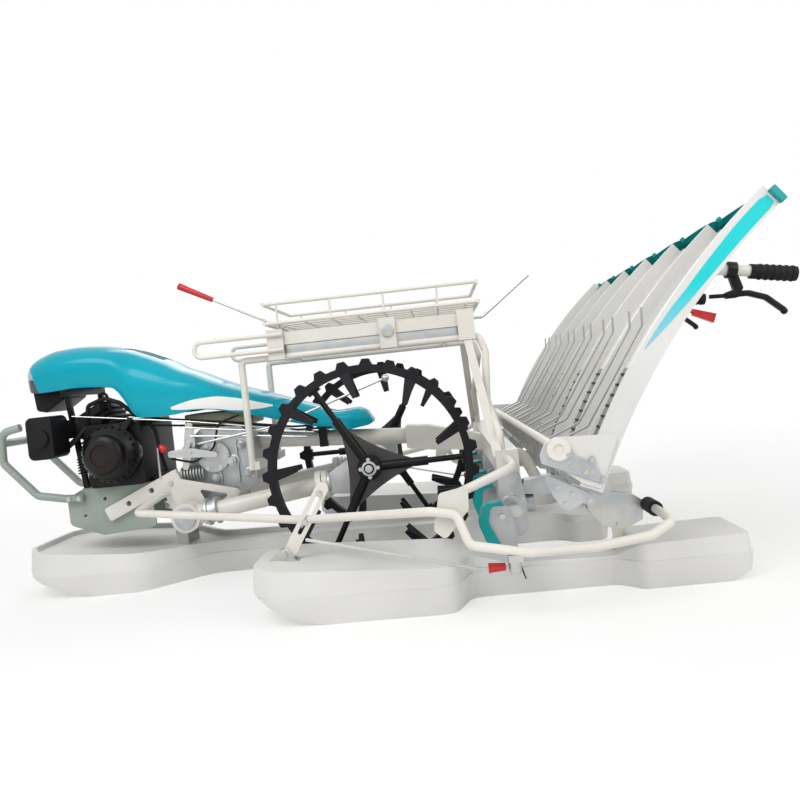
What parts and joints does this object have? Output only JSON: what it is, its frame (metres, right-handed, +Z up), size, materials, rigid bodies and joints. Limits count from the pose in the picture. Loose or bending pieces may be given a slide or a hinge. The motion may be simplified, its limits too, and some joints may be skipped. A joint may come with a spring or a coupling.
{
  "type": "six-row walk-behind rice transplanter",
  "caption": "Walk-behind rice transplanter with three floats, two lugged drive wheels on swing arms, a sliding seedling platform and planting arms under a cross beam.",
  "frame": {"origin": "on the ground below the middle of the machine's overall length and width", "axes": "+X forward, +Y to the machine's left, +Z up"},
  "size_m": [2.5078, 1.856, 0.9572],
  "materials": {
    "white_paint": "gloss",
    "cream_paint": "gloss",
    "grey_green_paint": "satin",
    "black_paint": "satin",
    "black_plastic": "matte",
    "black_rubber": "matte",
    "teal_plastic": "gloss",
    "white_plastic": "satin",
    "red_plastic": "gloss",
    "cast_aluminium": "satin",
    "cast_iron": "satin",
    "zinc_steel": "satin",
    "khaki_paint": "satin",
    "clear_lens": "gloss"
  },
  "bodies": {
    "chassis": {"main_tube": "white_paint", "side_frames": "white_paint", "tool_beam": "white_paint", "engine_bed": "grey_green_paint", "front_bumper": "grey_green_paint", "engine_block": "cast_iron", "recoil_starter": "black_paint", "air_cleaner": "black_plastic", "muffler": "black_paint", "hood": "teal_plastic", "head_lamp": "clear_lens", "fuel_tank": "khaki_paint", "transmission": "cast_aluminium", "float_centre": "white_plastic", "float_left": "white_plastic", "float_right": "white_plastic", "float_links": "zinc_steel", "rear_brackets": "zinc_steel", "hood_stays": "black_paint", "rack_frame": "cream_paint", "rack_slides": "zinc_steel", "guard_left": "cream_paint", "guard_right": "cream_paint", "guard_sleeves": "black_rubber", "planting_cases": "cast_aluminium", "gate_rail": "cast_aluminium", "rear_frame": "cream_paint", "handle_grips": "black_rubber", "clutch_levers": "black_paint", "red_levers": "red_plastic", "control_rods": "zinc_steel", "gear_levers": "zinc_steel", "nose_box": "black_plastic", "marker_posts": "zinc_steel"},
    "swing_arm_left": {"arm_tube_left": "white_paint", "arm_gearcase_left": "cast_aluminium"},
    "swing_arm_right": {"arm_tube_right": "white_paint", "arm_gearcase_right": "cast_aluminium"},
    "wheel_left": {"wheel_rim_left": "black_rubber", "wheel_spider_left": "black_paint"},
    "wheel_right": {"wheel_rim_right": "black_rubber", "wheel_spider_right": "black_paint"},
    "platform": {"platform_tray": "white_plastic", "platform_dividers": "white_plastic", "platform_sides": "white_plastic", "platform_caps": "teal_plastic", "presser_rail": "cream_paint", "presser_rods": "zinc_steel", "feed_belts": "black_rubber"},
    "basket": {"spare_basket": "cream_paint", "basket_rods": "zinc_steel", "basket_rod_grip": "red_plastic"},
    "planter_crankset": {"planter_cranks": "zinc_steel"},
    "planter_armset": {"planter_arms": "cast_aluminium", "planter_covers": "teal_plastic", "planter_forks": "black_paint"},
    "marker_arm_left": {"marker_left": "zinc_steel", "marker_grip_left": "red_plastic"},
    "marker_arm_right": {"marker_right": "zinc_steel", "marker_grip_right": "red_plastic"}
  },
  "joints": [
    {"name": "swing_left", "type": "hinge", "parent": "chassis", "child": "swing_arm_left", "pos_m": [0.639, 0.212, 0.215], "axis": [0, -1, 0], "range_deg": [0, 26]},
    {"name": "wheel_spin_left", "type": "hinge", "parent": "swing_arm_left", "child": "wheel_left", "pos_m": [0.033, 0.32, 0.328], "axis": [0, 1, 0], "continuous": true},
    {"name": "marker_swing_left", "type": "hinge", "parent": "chassis", "child": "marker_arm_left", "pos_m": [-0.33, 0.842, 0.122], "axis": [0, 0, 1], "range_deg": [0, 90]},
    {"name": "swing_right", "type": "hinge", "parent": "chassis", "child": "swing_arm_right", "pos_m": [0.639, -0.212, 0.215], "axis": [0, -1, 0], "range_deg": [0, 26]},
    {"name": "wheel_spin_right", "type": "hinge", "parent": "swing_arm_right", "child": "wheel_right", "pos_m": [0.033, -0.32, 0.328], "axis": [0, 1, 0], "continuous": true},
    {"name": "marker_swing_right", "type": "hinge", "parent": "chassis", "child": "marker_arm_right", "pos_m": [-0.33, -0.842, 0.122], "axis": [0, 0, -1], "range_deg": [0, 90]},
    {"name": "platform_traverse", "type": "slide", "parent": "chassis", "child": "platform", "axis": [0, 1, 0], "range_m": [-0.14, 0.14]},
    {"name": "basket_slide", "type": "slide", "parent": "chassis", "child": "basket", "axis": [-1, 0, 0], "range_m": [0, 0.2]},
    {"name": "planter_crank", "type": "hinge", "parent": "chassis", "child": "planter_crankset", "pos_m": [-0.352, 0, 0.226], "axis": [0, 1, 0], "continuous": true},
    {"name": "planter_arm_pivot", "type": "hinge", "parent": "planter_crankset", "child": "planter_armset", "pos_m": [-0.316, 0, 0.226], "axis": [0, 1, 0], "continuous": true}
  ],
  "couplings": [
    {"joint": "planter_arm_pivot", "follows": "planter_crank", "ratio": -1}
  ]
}
